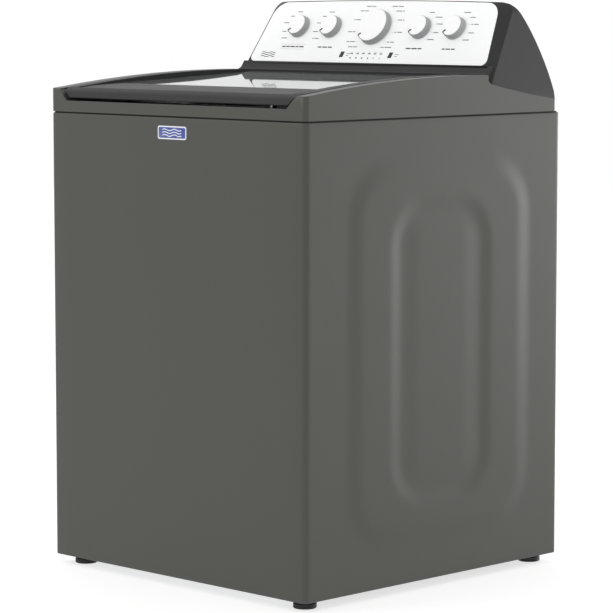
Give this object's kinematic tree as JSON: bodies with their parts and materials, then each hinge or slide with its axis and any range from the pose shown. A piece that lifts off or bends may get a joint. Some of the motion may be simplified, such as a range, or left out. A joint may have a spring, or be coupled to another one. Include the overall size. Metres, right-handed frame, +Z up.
{
  "type": "top load washing machine",
  "caption": "Free-standing top load washing machine with a painted steel cabinet, hinged glass lid, sloped knob console, hung tub, basket and agitator.",
  "frame": {"origin": "on the floor, under the middle of the machine's box", "axes": "+Z up; the front panel faces -Y; +X to the right of someone facing the front"},
  "size_m": [0.7034, 0.708, 1.1075],
  "materials": {
    "cabinet_paint": "satin grey-olive enamel on sheet steel",
    "galvanised_steel": "galvanised sheet, dull",
    "zinc_hardware": "zinc plated",
    "charcoal_plastic": "fine grained charcoal moulding",
    "panel_white": "smooth white",
    "knob_white": "white face, satin grey skirt",
    "button_black": "satin black",
    "light_clear": "smoked light pipes",
    "lid_glass": "clear tempered glass",
    "foot_black": "black",
    "enamel_badge": "glossy blue with a pale rim",
    "board_green": "solder mask",
    "switch_black": "plain",
    "natural_plastic": "natural white moulding",
    "tub_plastic": "grey-white moulding",
    "stainless_basket": "bright stainless",
    "cast_aluminium": "as cast",
    "motor_shell": "satin black",
    "agitator_plastic": "light grey moulding",
    "cap_blue": "blue moulding",
    "pulley_dark": "glass filled moulding",
    "belt_rubber": "ribbed belt",
    "gasket_black": "plain"
  },
  "bodies": {
    "cabinet": {"cabinet_shell": "cabinet_paint", "rear_panel": "galvanised_steel", "front_brace": "galvanised_steel", "rear_brace": "galvanised_steel", "corner_bracket_1": "galvanised_steel", "corner_bracket_2": "galvanised_steel", "corner_bracket_3": "galvanised_steel", "corner_bracket_4": "galvanised_steel", "lock_nuts": "zinc_hardware", "cabinet_screws": "zinc_hardware", "top_cover": "cabinet_paint", "hinge_bushes": "natural_plastic", "badge": "enamel_badge", "console_housing": "charcoal_plastic", "console_back_cover": "galvanised_steel", "control_panel": "panel_white", "control_board": "board_green", "selector_switches": "switch_black", "indicator_lights": "light_clear", "lid_lock": "switch_black", "inlet_valve": "natural_plastic", "fill_spout": "natural_plastic", "drain_grommet": "gasket_black", "cord_gland": "gasket_black", "suspension_rod_1": "zinc_hardware", "suspension_rod_2": "zinc_hardware", "suspension_rod_3": "zinc_hardware", "suspension_rod_4": "zinc_hardware", "suspension_spring_1": "zinc_hardware", "suspension_spring_2": "zinc_hardware", "suspension_spring_3": "zinc_hardware", "suspension_spring_4": "zinc_hardware"},
    "lid": {"lid_frame": "charcoal_plastic", "lid_glass": "lid_glass", "lid_hinge_pins": "zinc_hardware", "lid_strike": "zinc_hardware"},
    "tub": {"outer_tub": "tub_plastic", "tub_ring": "tub_plastic", "tub_bearing": "zinc_hardware", "gearcase": "cast_aluminium", "drive_motor": "motor_shell", "drain_pump": "motor_shell", "drive_belt": "belt_rubber"},
    "basket": {"basket": "stainless_basket", "balance_ring": "tub_plastic"},
    "agitator": {"agitator": "agitator_plastic", "softener_cap": "cap_blue"},
    "drive_pulley": {"drive_pulley": "pulley_dark"},
    "motor_pulley": {"motor_pulley": "zinc_hardware"},
    "start_button": {"start_button": "button_black"},
    "power_button": {"power_button": "button_black"},
    "knob_soil": {"knob_soil": "knob_white"},
    "knob_spin": {"knob_spin": "knob_white"},
    "knob_cycle": {"knob_cycle": "knob_white"},
    "knob_temperature": {"knob_temperature": "knob_white"},
    "knob_options": {"knob_options": "knob_white"},
    "foot_1": {"levelling_foot_1": "foot_black"},
    "foot_2": {"levelling_foot_2": "foot_black"},
    "foot_3": {"levelling_foot_3": "foot_black"},
    "foot_4": {"levelling_foot_4": "foot_black"}
  },
  "joints": [
    {"name": "lid_hinge", "type": "hinge", "parent": "cabinet", "child": "lid", "pos_m": [0, 0.1275, 0.9525], "axis": [-1, 0, 0], "range_deg": [0, 100]},
    {"name": "knob_soil_turn", "type": "hinge", "parent": "cabinet", "child": "knob_soil", "pos_m": [-0.213, 0.20034, 1.05266], "axis": [0, 0.8729, -0.4879], "range_deg": [0, 270]},
    {"name": "knob_spin_turn", "type": "hinge", "parent": "cabinet", "child": "knob_spin", "pos_m": [-0.122, 0.20034, 1.05266], "axis": [0, 0.8729, -0.4879], "range_deg": [0, 270]},
    {"name": "knob_cycle_turn", "type": "hinge", "parent": "cabinet", "child": "knob_cycle", "pos_m": [0, 0.20034, 1.05266], "axis": [0, 0.8729, -0.4879], "continuous": true},
    {"name": "knob_temperature_turn", "type": "hinge", "parent": "cabinet", "child": "knob_temperature", "pos_m": [0.122, 0.20034, 1.05266], "axis": [0, 0.8729, -0.4879], "range_deg": [0, 270]},
    {"name": "knob_options_turn", "type": "hinge", "parent": "cabinet", "child": "knob_options", "pos_m": [0.213, 0.20034, 1.05266], "axis": [0, 0.8729, -0.4879], "range_deg": [0, 270]},
    {"name": "start_press", "type": "slide", "parent": "cabinet", "child": "start_button", "axis": [0, 0.8729, -0.4879], "range_m": [0, 0.0015], "stiffness_N_per_m": 500, "springref_m": -0.002},
    {"name": "power_press", "type": "slide", "parent": "cabinet", "child": "power_button", "axis": [0, 0.8729, -0.4879], "range_m": [0, 0.0015], "stiffness_N_per_m": 500, "springref_m": -0.002},
    {"name": "tub_bounce", "type": "slide", "parent": "cabinet", "child": "tub", "axis": [0, 0, 1], "range_m": [-0.03, 0.012], "stiffness_N_per_m": 7600, "springref_m": 0.06, "deforming": ["suspension_spring_1", "suspension_spring_2", "suspension_spring_3", "suspension_spring_4"]},
    {"name": "basket_spin", "type": "hinge", "parent": "tub", "child": "basket", "pos_m": [0, -0.0175, 0.4], "axis": [0, 0, 1], "continuous": true},
    {"name": "agitator_turn", "type": "hinge", "parent": "basket", "child": "agitator", "pos_m": [0, -0.0175, 0.4], "axis": [0, 0, 1], "continuous": true},
    {"name": "drive_pulley_turn", "type": "hinge", "parent": "tub", "child": "drive_pulley", "pos_m": [0, -0.0175, 0.127], "axis": [0, 0, 1], "continuous": true},
    {"name": "motor_pulley_turn", "type": "hinge", "parent": "tub", "child": "motor_pulley", "pos_m": [-0.172, -0.0175, 0.127], "axis": [0, 0, 1], "continuous": true},
    {"name": "foot_1_level", "type": "slide", "parent": "cabinet", "child": "foot_1", "axis": [0, 0, -1], "range_m": [0, 0.015]},
    {"name": "foot_2_level", "type": "slide", "parent": "cabinet", "child": "foot_2", "axis": [0, 0, -1], "range_m": [0, 0.015]},
    {"name": "foot_3_level", "type": "slide", "parent": "cabinet", "child": "foot_3", "axis": [0, 0, -1], "range_m": [0, 0.015]},
    {"name": "foot_4_level", "type": "slide", "parent": "cabinet", "child": "foot_4", "axis": [0, 0, -1], "range_m": [0, 0.015]}
  ],
  "couplings": [
    {"joint": "motor_pulley_turn", "follows": "drive_pulley_turn", "ratio": 6.7857}
  ]
}
